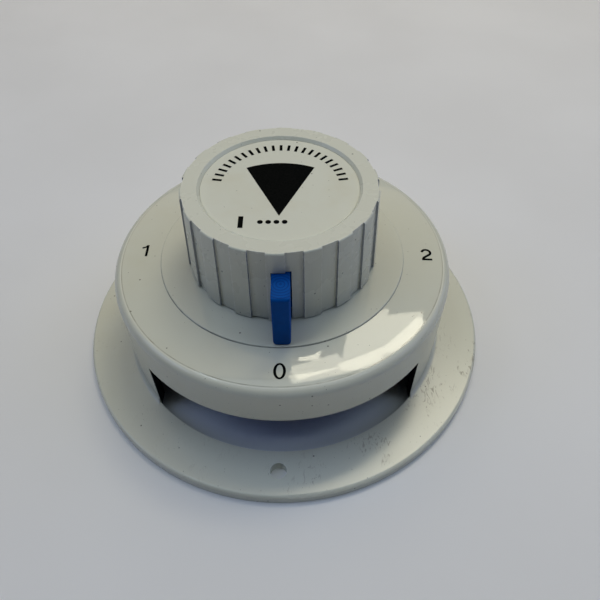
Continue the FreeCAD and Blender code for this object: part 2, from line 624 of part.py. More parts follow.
def terminal_nuts():
    """Full nut on each stud, with chamfered corners."""
    z1 = BASE_BOTTOM_Z - FLAT_WASHER_T - SPRING_WASHER_T
    z0 = z1 - NUT_H
    nut = hexagon(NUT_FLATS, z0, z1, Vector(0, 0, 0))
    corner_r = NUT_FLATS / math.sqrt(3)
    crown = spun([(0.0, z0), (NUT_FLATS / 2, z0), (corner_r + 0.3, z0 + 0.9), (corner_r + 0.3, z1 - 0.9),
                  (NUT_FLATS / 2, z1), (0.0, z1)])
    nut = nut.common(crown).cut(disc(STUD_R + FIT, 0.0, z1 + 1.0))
    return [nut.translated(polar(STUD_PITCH_R, b)) for b in THIRDS]


def base_screws():
    """Four pan-head screws that hold the contact base to the cover's posts."""
    seat = BASE_BOTTOM_Z - 1.0
    screw = spun([(0.0, seat - 2.5), (2.4, seat - 2.5), (3.8, seat - 1.2, 3.5, seat - 2.1), (3.8, seat),
                  (BASE_SCREW_R, seat), (BASE_SCREW_R, BASE_TOP_Z + 8.0), (0.0, BASE_TOP_Z + 8.0)])
    screw = screw.cut(block(-0.5, 0.5, -5.0, 5.0, seat - 4.0, seat - 1.3))
    return [screw.translated(polar(BASE_SCREW_PITCH_R, b)) for b in BASE_SCREW_BEARINGS]


def base_screw_washers():
    """Spring washer under each base screw."""
    ring = disc(3.6, BASE_BOTTOM_Z - 1.0, BASE_BOTTOM_Z).cut(disc(BASE_SCREW_R + 0.15, 0.0, KNOB_TOP_Z))
    ring = ring.cut(block(-0.3, 0.3, 0.0, 6.0, 0.0, KNOB_TOP_Z))
    return [ring.translated(polar(BASE_SCREW_PITCH_R, b)) for b in BASE_SCREW_BEARINGS]


def main():
    os.makedirs("parts", exist_ok=True)
    save("cover_housing", cover_housing())
    save("spindle_bush", spindle_bush())
    save("spindle_seal", spindle_seal())
    save("knob_shell", knob_shell())
    save("knob_cap", knob_cap())
    save("pointer_fin", pointer_fin())
    save("knob_screw", knob_screw())
    save("knob_screw_washer", knob_screw_washer())
    save("knob_slip_washer", knob_slip_washer())
    save("spindle", spindle())
    save("drive_pin", drive_pin())
    save("spindle_clip", spindle_clip())
    save("thrust_washer", thrust_washer())
    save("rotor_carrier", rotor_carrier())
    save("moving_contact", moving_contact())
    save("pressure_springs", *pressure_springs())
    save("detent_spring_left", detent_spring(-1))
    save("detent_spring_right", detent_spring(1))
    save("contact_base", contact_base())
    save("fixed_contact_1", fixed_contact(-1))
    save("fixed_contact_2", fixed_contact(1))
    save("common_contact", common_contact())
    for name, stud in terminal_studs().items():
        save(name, stud)
    save("terminal_flat_washers", *terminal_flat_washers())
    save("terminal_spring_washers", *terminal_spring_washers())
    save("terminal_nuts", *terminal_nuts())
    save("base_screws", *base_screws())
    save("base_screw_washers", *base_screw_washers())


main()
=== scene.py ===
"""Looks of the rotary battery switch: painted cover and knob, blue pointer fin, printed dial marks, and
the brass, copper and moulded parts inside. Metres, in the CAD's frame. +Z is up and -Y is the front."""
import math

import bpy
from mathutils import Matrix, Vector


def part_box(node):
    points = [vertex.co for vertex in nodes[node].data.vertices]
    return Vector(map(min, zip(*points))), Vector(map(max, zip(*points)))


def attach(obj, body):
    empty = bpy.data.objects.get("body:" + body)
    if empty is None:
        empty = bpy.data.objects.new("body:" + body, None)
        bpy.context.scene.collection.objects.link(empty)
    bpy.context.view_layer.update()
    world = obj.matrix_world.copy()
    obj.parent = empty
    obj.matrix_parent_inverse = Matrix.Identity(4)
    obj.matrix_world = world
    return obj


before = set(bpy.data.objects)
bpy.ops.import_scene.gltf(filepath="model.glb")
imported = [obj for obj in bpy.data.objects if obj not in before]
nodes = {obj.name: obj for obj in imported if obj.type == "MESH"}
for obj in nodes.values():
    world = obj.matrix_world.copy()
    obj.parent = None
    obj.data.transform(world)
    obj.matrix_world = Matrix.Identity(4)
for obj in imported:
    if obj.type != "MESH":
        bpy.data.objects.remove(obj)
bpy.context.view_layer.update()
MM = 0.001

# Heights and radii read from the frame
CAP_TOP_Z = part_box("knob_cap")[1].z
KNOB_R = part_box("knob_shell")[1].x
FIN_TOP_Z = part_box("pointer_fin")[1].z

# Faint rings on the fin's top face: their centre, and how far apart they are
FIN_RINGS_AT = (0.65 * MM, -35.8 * MM)
FIN_RING_PITCH = 1.0 * MM

# The cover. Its dial face is a shallow cone between the inner and the outer radius
DIAL_INNER_R = 42.5 * MM
DIAL_OUTER_R = 55.95 * MM
DIAL_INNER_Z = 39.45 * MM
DIAL_OUTER_Z = 38.8 * MM
DIAL_CROWN = 0.073            # how much steeper the face is shaded towards its rim
PALE_LINE_R = DIAL_OUTER_R + 0.45 * MM
FACE_FROM_Z = 38.0 * MM       # the plateau, the dial face and its shoulder are above this height
FLANGE_FROM_R = 60.0 * MM
INSIDE_R = 58.5 * MM          # what is within this radius and below this height, the cover's inside and the slot's end faces, gets painted shade
INSIDE_TOP_Z = 36.6 * MM
PAINTED_SHADE_R = 61.0 * MM           # the floor's painted shade patch ends here, out of sight under the flange

# Printed marks: how far they stand off the paint, and how thick they are
PRINT_GAP = 0.03 * MM
PRINT_T = 0.02 * MM

# Camera: lens and sensor width in millimetres, place, view direction and roll
LENS = 34.5
SENSOR = 36.0
CAMERA_AT = Vector((6.365, -145.79, 182.23)) * MM
CAMERA_FORWARD = Vector((-0.0011, 0.6516, -0.7586))
CAMERA_ROLL = math.radians(0.37)

# Dim cool room, the grey seen past the floor's edge, and the ceiling and windows round the switch
ROOM_COLOR = (0.60, 0.75, 1.0)
ROOM_STRENGTH = 0.003
BACKDROP_COLOR = (0.30, 0.31, 0.33)
CEILING_COLOR = (1.0, 0.823, 0.562)
MIDDLE_COLOR = (0.825, 0.935, 1.0)
SKY_COLOR = (0.32, 0.47, 1.0)
LIGHTS = {
    "ceiling": {"at": (0.0, 1.45, 1.35), "size": (3.2, 2.0), "glow": 0.682, "color": CEILING_COLOR},
    "ceiling_middle": {"at": (0.0, -0.02, 1.35), "size": (2.4, 0.9), "glow": 0.962, "color": MIDDLE_COLOR},
    "left_window": {"at": (-1.15, -0.08, 1.1), "size": (0.8, 0.8), "glow": 1.2, "color": SKY_COLOR},
    "right_window": {"at": (1.53, 0.18, 0.9), "size": (1.6, 1.2), "glow": 0.752, "color": SKY_COLOR},
}

# Bright panes and lamps overhead that mirror in the glossy dial. All face down; turn is in degrees
WARM = (1.0, 0.945, 0.743)
COOL = (0.66, 0.82, 1.0)
PANES = {
    "pane_tall": {"at": (0.295, 0.68, 1.3), "size": (0.19, 0.44), "turn": 0, "glow": 5.9, "color": WARM},
    "pane_wide": {"at": (0.505, 0.705, 1.3), "size": (0.23, 0.29), "turn": 0, "glow": 5.9, "color": WARM},
    "pane_low": {"at": (0.10, 0.51, 1.3), "size": (0.22, 0.12), "turn": 25, "glow": 5.9, "color": WARM},
    "strip_low": {"at": (0.10, 0.432, 1.28), "size": (0.22, 0.065), "turn": 13, "glow": 6.4, "color": WARM},
    "strip_middle": {"at": (0.305, 0.515, 1.28), "size": (0.23, 0.09), "turn": 25, "glow": 5.7,
                     "color": WARM},
    "strip_high": {"at": (0.50, 0.66, 1.28), "size": (0.31, 0.085), "turn": 47, "glow": 5.7, "color": WARM},
    "lamp": {"at": (0.062, 0.60, 1.28), "size": (0.08, 0.08), "turn": 0, "glow": 9.5, "color": WARM},
    "lamp_left": {"at": (-0.37, 0.12, 1.28), "size": (0.10, 0.50), "turn": 8, "glow": 3.2, "color": COOL},
    "lamp_right": {"at": (0.62, -0.25, 1.28), "size": (0.25, 0.10), "turn": 20, "glow": 3.0, "color": COOL},
}


# ---------------------------------------------------------------- node helpers

def add(tree, kind, inputs=None, **settings):
    """New shader node. An input is a socket to link from, or a value."""
    node = tree.nodes.new(kind)
    for name, value in settings.items():
        setattr(node, name, value)
    for key, value in (inputs or {}).items():
        if isinstance(value, bpy.types.NodeSocket):
            tree.links.new(value, node.inputs[key])
        else:
            node.inputs[key].default_value = value
    return node


def math_node(tree, operation, a, b=0.0, clamp=False):
    """Result socket of a Math node."""
    return add(tree, "ShaderNodeMath", {0: a, 1: b}, operation=operation, use_clamp=clamp).outputs[0]


def noise(tree, vector, feature, detail=3.0, roughness=0.5, distortion=0.0):
    """Noise from 0 to 1 with features of about this size in metres."""
    made = add(tree, "ShaderNodeTexNoise", {"Vector": vector, "Scale": 1.0 / feature, "Detail": detail,
                                            "Roughness": roughness, "Distortion": distortion})
    return made.outputs["Fac"]


def remap(tree, value, low, high, to_low=0.0, to_high=1.0):
    """Smooth step of a value between two limits."""
    made = add(tree, "ShaderNodeMapRange", {0: value, 1: low, 2: high, 3: to_low, 4: to_high},
               interpolation_type="SMOOTHSTEP")
    return made.outputs[0]


def mix(tree, factor, a, b):
    """Colour between a and b."""
    made = add(tree, "ShaderNodeMix", data_type="RGBA")
    for socket, value in ((made.inputs[0], factor), (made.inputs[6], a), (made.inputs[7], b)):
        if isinstance(value, bpy.types.NodeSocket):
            tree.links.new(value, socket)
        else:
            socket.default_value = (*value, 1.0) if isinstance(value, tuple) and len(value) == 3 else value
    return made.outputs[2]


def place(tree):
    """Object coordinates and their separate axes."""
    vector = add(tree, "ShaderNodeTexCoord").outputs["Object"]
    axes = add(tree, "ShaderNodeSeparateXYZ", {0: vector}).outputs
    return vector, axes


def around_axis(tree, axes, radius, stretch):
    """Coordinates that run round the Z axis in metres, with Z squeezed by stretch."""
    angle = math_node(tree, "ARCTAN2", axes[1], axes[0])
    arc = math_node(tree, "MULTIPLY", angle, radius)
    height = math_node(tree, "MULTIPLY", axes[2], stretch)
    return add(tree, "ShaderNodeCombineXYZ", {0: arc, 1: height, 2: 0.0}).outputs[0]


def bump(tree, height, distance, strength=1.0, normal=None):
    """Bumped normal."""
    inputs = {"Height": height, "Distance": distance, "Strength": strength}
    if normal is not None:
        inputs["Normal"] = normal
    return add(tree, "ShaderNodeBump", inputs).outputs[0]


def soft_edges(tree, radius):
    """Normal that rounds sharp edges."""
    return add(tree, "ShaderNodeBevel", {"Radius": radius}, samples=6).outputs[0]


def edge_mask(tree, radius, low, high):
    """1 on sharp edges, 0 elsewhere."""
    normals = {0: soft_edges(tree, radius), 1: add(tree, "ShaderNodeNewGeometry").outputs["Normal"]}
    alike = add(tree, "ShaderNodeVectorMath", normals, operation="DOT_PRODUCT").outputs["Value"]
    return remap(tree, math_node(tree, "SUBTRACT", 1.0, alike), low, high)


def new_material(name):
    """Empty node material with its tree and shader."""
    material = bpy.data.materials.new(name)
    material.use_nodes = True
    tree = material.node_tree
    return material, tree, tree.nodes["Principled BSDF"]


def link(tree, shader, **sockets):
    """Links sockets to the shader's inputs; a plain value is set."""
    for name, value in sockets.items():
        target = shader.inputs[name.replace("_", " ")]
        if isinstance(value, bpy.types.NodeSocket):
            tree.links.new(value, target)
        else:
            target.default_value = value


# ---------------------------------------------------------------- materials

CREAM = (0.66, 0.665, 0.565)
CREAM_STAINED = (0.62, 0.60, 0.47)
CREAM_WORN = (0.76, 0.76, 0.68)
# Pale cream for rubbed edges, made light enough to serve partly as a painted highlight
CREAM_RUBBED_AND_HIGHLIGHT = (0.93, 0.92, 0.85)
# Near-black painted shade for the inside of the cover and the slot's end faces
INSIDE_PAINTED_SHADE = (0.013, 0.014, 0.017)
DIRT = (0.10, 0.09, 0.07)
# Painted shade along the plateau's step
PLATEAU_PAINTED_SHADE = (0.20, 0.20, 0.19)
# Dark line round the dial's outer rim
RIM_DARK_LINE = (0.26, 0.24, 0.18)
SCUFF = (0.36, 0.34, 0.27)
# Bluish painted shade for the flanks of the knob's grooves
GROOVE_FLANK_PAINTED_SHADE = (0.32, 0.35, 0.42)
BLUE_DARK = (0.0005, 0.068, 0.300)
BLUE_LIGHT = (0.0008, 0.082, 0.360)
BLUE_RUBBED = (0.02, 0.12, 0.38)
BLUE_RING = (0.001, 0.028, 0.14)
INK_DARK = (0.004, 0.0045, 0.004)
INK_LIGHT = (0.008, 0.008, 0.0075)
FILLER = (0.35, 0.30, 0.24)
FLOOR_DARK = (0.797, 0.792, 0.792)
FLOOR_LIGHT = (0.829, 0.824, 0.824)
# Painted shade on the floor inside the cover's outline: one colour deep inside, a darker, bluer one at the
# sill
PAINTED_SHADE_DEEP = (0.95, 0.98, 0.98)
PAINTED_SHADE_SILL = (0.53, 0.56, 0.57)

# Specks of dirt and filler: size of the cell that may hold one, radius, and share of cells that do
FINE_SPECKS = {"cell": 1.7 * MM, "radius": 0.17 * MM, "share": 0.16}
COARSE_SPECKS = {"cell": 4.5 * MM, "radius": 0.38 * MM, "share": 0.40}
NICKS = {"cell": 3.0 * MM, "radius": 0.35 * MM}
RIM_DUST = {"cell": 1.1 * MM, "radius": 0.13 * MM}
FLECKS = {"cell": 0.9 * MM, "radius": 0.1 * MM, "share": 0.25}


def specks(tree, vector, cell, radius, share):
    """Sparse small round specks: 1 inside a speck. share is how many cells hold one."""
    cells = add(tree, "ShaderNodeTexVoronoi", {"Vector": vector, "Scale": 1.0 / cell, "Randomness": 1.0})
    chosen = add(tree, "ShaderNodeSeparateXYZ", {0: cells.outputs["Color"]}).outputs
    near = remap(tree, cells.outputs["Distance"], 0.5 * radius / cell, radius / cell, 1.0, 0.0)
    picked = math_node(tree, "LESS_THAN", chosen[0], share)
    return math_node(tree, "MULTIPLY", near, picked)


def from_axis(tree, axes):
    """Distance from the Z axis."""
    squares = [math_node(tree, "MULTIPLY", axes[i], axes[i]) for i in (0, 1)]
    return math_node(tree, "SQRT", math_node(tree, "ADD", squares[0], squares[1]))


def line_round(tree, radius, at, core, edge):
    """1 on a thin circle of this radius, fading out between core and edge on both of its sides."""
    away = math_node(tree, "ABSOLUTE", math_node(tree, "SUBTRACT", radius, at))
    return remap(tree, away, core, edge, 1.0, 0.0)


def both(tree, *factors):
    """Product of several factors."""
    product = factors[0]
    for factor in factors[1:]:
        product = math_node(tree, "MULTIPLY", product, factor)
    return product


def machined_lines(tree, axes):
    """Three masks: fine upright tool lines, all upright faces, and those that face sideways in a groove.
    They read the object's own normal, so they turn with the knob."""
    lines = noise(tree, around_axis(tree, axes, KNOB_R, 0.012), 0.40 * MM, 3.0, 0.7)
    facing = add(tree, "ShaderNodeSeparateXYZ", {0: add(tree, "ShaderNodeTexCoord").outputs["Normal"]})
    side = math_node(tree, "LESS_THAN", math_node(tree, "ABSOLUTE", facing.outputs[2]), 0.5)
    parts = [both(tree, facing.outputs[i], axes[i]) for i in (0, 1)]
    outward = math_node(tree, "DIVIDE", math_node(tree, "ADD", *parts), from_axis(tree, axes))
    flank = both(tree, remap(tree, math_node(tree, "ABSOLUTE", outward), 0.5, 0.85, 1.0, 0.0), side)
    return both(tree, lines, side), side, flank


def cream_paint(name, roughness=0.22, stains=0.45, tone=1.0, edge_wear_and_highlight_r=0.40 * MM, machined=0.0):
    """Glossy cream paint with orange peel, stains, dust specks and pale edges, rubbed and partly painted
    highlight.
    tone makes it lighter. machined is the depth of the knob's tool lines, and adds painted shade on the
    groove flanks."""
    material, tree, shader = new_material(name)
    vector, axes = place(tree)
    stain = remap(tree, noise(tree, vector, 30 * MM, 4.0, 0.6), 0.48, 0.75)
    fresh = tuple(channel * tone for channel in CREAM)
    color = mix(tree, both(tree, stain, stains), fresh, tuple(channel * tone for channel in CREAM_STAINED))
    cloud = remap(tree, noise(tree, vector, 9 * MM, 5.0, 0.65), 0.3, 0.75)
    color = mix(tree, both(tree, cloud, 0.06), color, CREAM_WORN)
    # Edges are lightened: rubbed paint, and partly a painted highlight along them
    edge = edge_mask(tree, edge_wear_and_highlight_r, 0.02, 0.20)
    ragged = remap(tree, noise(tree, vector, 1.5 * MM, 4.0, 0.7), 0.36, 0.58)
    color = mix(tree, both(tree, edge, ragged, 0.9), color, CREAM_RUBBED_AND_HIGHLIGHT)
    fine = specks(tree, vector, **FINE_SPECKS)
    coarse = specks(tree, vector, **COARSE_SPECKS)
    color = mix(tree, both(tree, math_node(tree, "MAXIMUM", fine, coarse), 0.8), color, DIRT)
    peel = noise(tree, vector, 2.2 * MM, 2.0, 0.45)
    grain = noise(tree, vector, 0.35 * MM, 2.0, 0.5)
    normal = bump(tree, peel, 0.002 * MM, 1.0, soft_edges(tree, 0.12 * MM))
    normal = bump(tree, grain, 0.0009 * MM, 1.0, normal)
    if machined:
        lines, side, flank = machined_lines(tree, axes)
        normal = bump(tree, lines, machined, 1.0, normal)
        color = mix(tree, both(tree, remap(tree, lines, 0.35, 0.7, 0.0, 0.14), side), color, CREAM_STAINED)
        # Painted shade: the sideways-facing groove flanks are darkened and blued
        color = mix(tree, both(tree, flank, 0.8), color, GROOVE_FLANK_PAINTED_SHADE)
    matt = remap(tree, noise(tree, vector, 12 * MM, 3.0, 0.6), 0.3, 0.8, roughness, roughness * 1.5)
    link(tree, shader, Base_Color=color, Roughness=matt, Normal=normal)
    return material


def cover_paint():
    """The cover's paint: a glossy crowned dial face with painted shade round the plateau and dust at its
    front rim, a duller flange with scuffs and dark nicks, and painted shade over the inside."""
    material = cream_paint("cover_paint", roughness=0.03)
    tree = material.node_tree
    shader = tree.nodes["Principled BSDF"]
    vector, axes = place(tree)
    color, rough, normal = (shader.inputs[name].links[0].from_socket
                            for name in ("Base Color", "Roughness", "Normal"))
    radius = from_axis(tree, axes)

    # Scuffs and nicks on the flange, most of them at its right front
    on_flange = math_node(tree, "GREATER_THAN", radius, FLANGE_FROM_R)
    slant = add(tree, "ShaderNodeMapping", {"Vector": vector, "Rotation": (0.0, 0.0, -0.7),
                                            "Scale": (1.0, 0.35, 1.0)}).outputs[0]
    hair = remap(tree, noise(tree, slant, 1.3 * MM, 3.0, 0.6, 1.6), 0.56, 0.62)
    patch = remap(tree, noise(tree, vector, 9 * MM, 2.0, 0.5), 0.50, 0.58)
    right_front = remap(tree, math_node(tree, "SUBTRACT", axes[0], axes[1]), 55 * MM, 92 * MM, 0.15, 1.0)
    scuff = both(tree, hair, patch, on_flange, right_front)
    color = mix(tree, both(tree, scuff, 0.85), color, SCUFF)
    nicks = specks(tree, vector, share=both(tree, patch, 0.22), **NICKS)
    color = mix(tree, both(tree, nicks, on_flange, 0.7), color, DIRT)

    # Dust at the front of the dial's rim
    front = remap(tree, axes[1], -30 * MM, -56 * MM)
    rim_band = remap(tree, radius, 52 * MM, 55 * MM)
    dust = specks(tree, vector, share=both(tree, rim_band, front, 0.16), **RIM_DUST)
    color = mix(tree, both(tree, dust, 0.8), color, DIRT)

    # Dark line and pale line round the dial, painted shade round the plateau, and painted shade over the
    # inside
    on_face = math_node(tree, "GREATER_THAN", axes[2], FACE_FROM_Z)
    uneven = remap(tree, noise(tree, vector, 6 * MM, 4.0, 0.6), 0.3, 0.7, 0.3, 0.8)
    # Dark line round the dial's outer rim, stronger towards the front
    rim_dark_line = both(tree, line_round(tree, radius, DIAL_OUTER_R, 0.08 * MM, 0.22 * MM), uneven, on_face,
                 remap(tree, axes[1], 20 * MM, -35 * MM, 0.3, 1.0))
    color = mix(tree, rim_dark_line, color, RIM_DARK_LINE)
    # Pale line just outside the dial's outer rim
    pale_line = both(tree, line_round(tree, radius, PALE_LINE_R, 0.06 * MM, 0.20 * MM), uneven, on_face, 0.6)
    color = mix(tree, pale_line, color, CREAM_RUBBED_AND_HIGHLIGHT)
    # Painted shade: the inside of the cover and the slot's end faces are painted near black
    within = math_node(tree, "LESS_THAN", radius, INSIDE_R)
    below = math_node(tree, "LESS_THAN", axes[2], INSIDE_TOP_Z)
    color = mix(tree, both(tree, within, below), color, INSIDE_PAINTED_SHADE)
    # Painted shade: a dark line along the plateau's step, strongest towards the front where the step's face
    # is in shade
    plateau_shade = both(tree, line_round(tree, radius, DIAL_INNER_R, 0.02 * MM, 0.20 * MM), uneven, on_face,
                 remap(tree, axes[1], 10 * MM, -30 * MM, 0.25, 1.0))
    color = mix(tree, plateau_shade, color, PLATEAU_PAINTED_SHADE)

    # Crown of the dial face, and duller paint outside it
    face_w = DIAL_OUTER_R - DIAL_INNER_R
    outward = math_node(tree, "MAXIMUM", math_node(tree, "SUBTRACT", radius, DIAL_INNER_R), 0.0)
    outward = math_node(tree, "MINIMUM", outward, face_w)
    crown = both(tree, outward, outward, -0.5 * DIAL_CROWN / face_w)
    dull = remap(tree, radius, DIAL_OUTER_R, DIAL_OUTER_R + 2 * MM, 0.0, 0.18)
    rough = math_node(tree, "ADD", rough, math_node(tree, "ADD", dull, both(tree, scuff, 0.2)))
    link(tree, shader, Base_Color=color, Roughness=rough, Normal=bump(tree, crown, 1.0, 1.0, normal))
    return material


def blue_plastic():
    """Moulded blue plastic with faint rings on its top face and paler rubbed edges."""
    material, tree, shader = new_material("fin_blue")
    vector, axes = place(tree)
    cloud = remap(tree, noise(tree, vector, 4 * MM, 4.0, 0.6), 0.3, 0.75)
    color = mix(tree, cloud, BLUE_DARK, BLUE_LIGHT)
    edge = edge_mask(tree, 0.3 * MM, 0.02, 0.3)
    color = mix(tree, both(tree, edge, 0.35), color, BLUE_RUBBED)
    off = [math_node(tree, "SUBTRACT", axes[i], FIN_RINGS_AT[i]) for i in (0, 1)]
    rings = math_node(tree, "SINE", both(tree, from_axis(tree, off), 2 * math.pi / FIN_RING_PITCH))
    top = math_node(tree, "GREATER_THAN", axes[2], FIN_TOP_Z - 0.3 * MM)
    grain = noise(tree, vector, 0.4 * MM, 3.0, 0.6)
    normal = bump(tree, grain, 0.006 * MM, 1.0, soft_edges(tree, 0.25 * MM))
    normal = bump(tree, both(tree, rings, top), 0.007 * MM, 1.0, normal)
    color = mix(tree, both(tree, remap(tree, rings, 0.0, 1.0), top, 0.55), color, BLUE_RING)
    matt = remap(tree, noise(tree, vector, 3 * MM, 3.0, 0.6), 0.3, 0.7, 0.42, 0.55)
    link(tree, shader, Base_Color=color, Roughness=matt, Normal=normal, Specular_IOR_Level=0.06)
    return material


def ink():
    """Black screen print, slightly uneven."""
    material, tree, shader = new_material("print_black")
    vector = place(tree)[0]
    cloud = noise(tree, vector, 0.6 * MM, 4.0, 0.7)
    color = mix(tree, remap(tree, cloud, 0.35, 0.75), INK_DARK, INK_LIGHT)
    normal = bump(tree, noise(tree, vector, 0.25 * MM, 2.0, 0.5), 0.004 * MM)
    link(tree, shader, Base_Color=color, Roughness=remap(tree, cloud, 0.3, 0.7, 0.40, 0.55), Normal=normal,
         Specular_IOR_Level=0.0)
    return material


def metal(name, color, dark, roughness, feature, stretch=(1.0, 1.0, 0.05), bump_depth=0.004, thread=None):
    """Turned or rolled metal: fine brush lines, tarnish in patches, brighter edges. bump_depth is in
    millimetres; thread is the pitch of thread lines along Z."""
    material, tree, shader = new_material(name)
    vector, axes = place(tree)
    brushed = add(tree, "ShaderNodeMapping", {"Vector": vector, "Scale": stretch}).outputs[0]
    lines = noise(tree, brushed, feature, 3.0, 0.6)
    tarnish = remap(tree, noise(tree, vector, 5 * MM, 5.0, 0.65), 0.42, 0.72)
    tone = mix(tree, tarnish, color, dark)
    edge = edge_mask(tree, 0.2 * MM, 0.03, 0.3)
    bright = tuple(min(1.0, channel * 1.25) for channel in color)
    tone = mix(tree, math_node(tree, "MULTIPLY", edge, 0.6), tone, bright)
    normal = bump(tree, lines, bump_depth * MM, 1.0, soft_edges(tree, 0.15 * MM))
    if thread:
        turns = math_node(tree, "SINE", math_node(tree, "MULTIPLY", axes[2], 2 * math.pi / thread))
        normal = bump(tree, turns, 0.25 * MM, 1.0, normal)
    matt = remap(tree, lines, 0.3, 0.7, roughness, roughness + 0.15)
    matt = math_node(tree, "ADD", matt, math_node(tree, "MULTIPLY", tarnish, 0.12))
    link(tree, shader, Base_Color=tone, Roughness=matt, Normal=normal, Metallic=1.0)
    return material


def moulded(name, color, light, roughness, fleck=0.0):
    """Moulded insulating material, with pale filler flecks where fleck is above zero."""
    material, tree, shader = new_material(name)
    vector = place(tree)[0]
    cloud = remap(tree, noise(tree, vector, 8 * MM, 4.0, 0.6), 0.35, 0.7)
    tone = mix(tree, cloud, color, light)
    if fleck:
        tone = mix(tree, both(tree, specks(tree, vector, **FLECKS), fleck), tone, FILLER)
    edge = edge_mask(tree, 0.25 * MM, 0.03, 0.3)
    worn = tuple(channel * 1.6 + 0.02 for channel in light)
    tone = mix(tree, math_node(tree, "MULTIPLY", edge, 0.4), tone, worn)
    grain = noise(tree, vector, 0.5 * MM, 3.0, 0.6)
    normal = bump(tree, grain, 0.008 * MM, 1.0, soft_edges(tree, 0.2 * MM))
    matt = remap(tree, noise(tree, vector, 3 * MM, 3.0, 0.6), 0.3, 0.7, roughness, roughness + 0.15)
    link(tree, shader, Base_Color=tone, Roughness=matt, Normal=normal)
    return material


def floor_material():
    """Plain pale table top, with painted shade under the cover where it shows inside the cable slot."""
    material, tree, shader = new_material("floor_grey")
    vector, axes = place(tree)
    cloud = noise(tree, vector, 0.09, 3.0, 0.5)
    color = mix(tree, remap(tree, cloud, 0.3, 0.7), FLOOR_DARK, FLOOR_LIGHT)
    # Painted shade: inside the cover's outline the floor takes a colour that stands in for the shadow under
    # the switch
    radius = from_axis(tree, axes)
    under = mix(tree, remap(tree, radius, 51 * MM, 58 * MM), PAINTED_SHADE_DEEP, PAINTED_SHADE_SILL)
    color = mix(tree, math_node(tree, "LESS_THAN", radius, PAINTED_SHADE_R), color, under)
    normal = bump(tree, noise(tree, vector, 1.2 * MM, 2.0, 0.5), 0.01 * MM)
    link(tree, shader, Base_Color=color, Roughness=remap(tree, cloud, 0.3, 0.7, 0.55, 0.65), Normal=normal)
    return material


def dress_cad():
    """Gives every CAD node its material."""
    brass = metal("brass_turned", (0.72, 0.52, 0.22), (0.46, 0.31, 0.13), 0.25, 0.25 * MM)
    stud = metal("brass_stud", (0.72, 0.52, 0.22), (0.46, 0.31, 0.13), 0.25, 0.25 * MM, thread=1.5 * MM)
    bronze = metal("bronze_bush", (0.60, 0.40, 0.20), (0.36, 0.23, 0.12), 0.35, 0.2 * MM)
    copper = metal("copper_rolled", (0.78, 0.40, 0.25), (0.42, 0.20, 0.12), 0.28, 0.3 * MM, (0.06, 1.0, 1.0))
    plated = metal("steel_plated", (0.62, 0.61, 0.57), (0.42, 0.40, 0.34), 0.28, 0.25 * MM)
    sprung = metal("steel_spring", (0.50, 0.50, 0.52), (0.28, 0.28, 0.30), 0.22, 0.2 * MM)
    phenolic = moulded("phenolic_brown", (0.045, 0.028, 0.020), (0.075, 0.046, 0.032), 0.38, fleck=0.35)
    nylon = moulded("nylon_white", (0.72, 0.71, 0.65), (0.80, 0.79, 0.73), 0.4)
    rubber = moulded("rubber_black", (0.012, 0.012, 0.012), (0.025, 0.025, 0.025), 0.6)
    # The knob's wide pale rib edges are partly a painted highlight
    knob = cream_paint("knob_paint", roughness=0.24, stains=0.2, tone=1.07, edge_wear_and_highlight_r=0.75 * MM,
                       machined=0.03 * MM)
    looks = {
        cover_paint(): ["cover_housing"],
        knob: ["knob_shell"],
        cream_paint("cap_paint", roughness=0.30, stains=0.8, tone=1.09): ["knob_cap"],
        blue_plastic(): ["pointer_fin"],
        brass: ["spindle", "terminal_flat_washers", "terminal_nuts"],
        stud: ["terminal_stud_common", "terminal_stud_1", "terminal_stud_2"],
        bronze: ["spindle_bush", "thrust_washer"],
        copper: ["moving_contact", "fixed_contact_1", "fixed_contact_2", "common_contact"],
        plated: ["knob_screw", "knob_screw_washer", "terminal_spring_washers", "base_screws",
                 "base_screw_washers"],
        sprung: ["drive_pin", "spindle_clip", "pressure_springs", "detent_spring_left",
                 "detent_spring_right"],
        phenolic: ["contact_base", "rotor_carrier"],
        nylon: ["knob_slip_washer"],
        rubber: ["spindle_seal"],
    }
    for material, names in looks.items():
        for name in names:
            for slot in nodes[name].material_slots:
                slot.material = material


# ---------------------------------------------------------------- printed marks

def plate(name, outlines, height_at, body, material):
    """Thin printed marks from flat outlines. Each outline is a strip of (left, right) point pairs in the XY
    plane; height_at gives the surface under a point."""
    vertices = []
    faces = []
    for strip in outlines:
        first = len(vertices)
        for left, right in strip:
            for x, y in (left, right):
                z = height_at(x, y) + PRINT_GAP
                vertices.append((x, y, z))
                vertices.append((x, y, z + PRINT_T))
        for i in range(len(strip) - 1):
            a = first + 4 * i
            b = a + 4
            faces += [(a + 1, b + 1, b + 3, a + 3), (a, a + 2, b + 2, b), (a, b, b + 1, a + 1),
                      (a + 2, a + 3, b + 3, b + 2)]
        last = first + 4 * (len(strip) - 1)
        faces += [(first, first + 1, first + 3, first + 2), (last, last + 2, last + 3, last + 1)]
    mesh = bpy.data.meshes.new(name)
    mesh.from_pydata(vertices, [], faces)
    mesh.materials.append(material)
    made = bpy.data.objects.new(name, mesh)
    bpy.context.scene.collection.objects.link(made)
    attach(made, body)


def dial_height(x, y):
    """Height of the cover's dial face under a point."""
    share = (math.hypot(x, y) - DIAL_INNER_R) / (DIAL_OUTER_R - DIAL_INNER_R)
    return DIAL_INNER_Z + share * (DIAL_OUTER_Z - DIAL_INNER_Z)


def cap_height(x, y):
    """Height of the knob's flat cap, the same under every point."""
    return CAP_TOP_Z


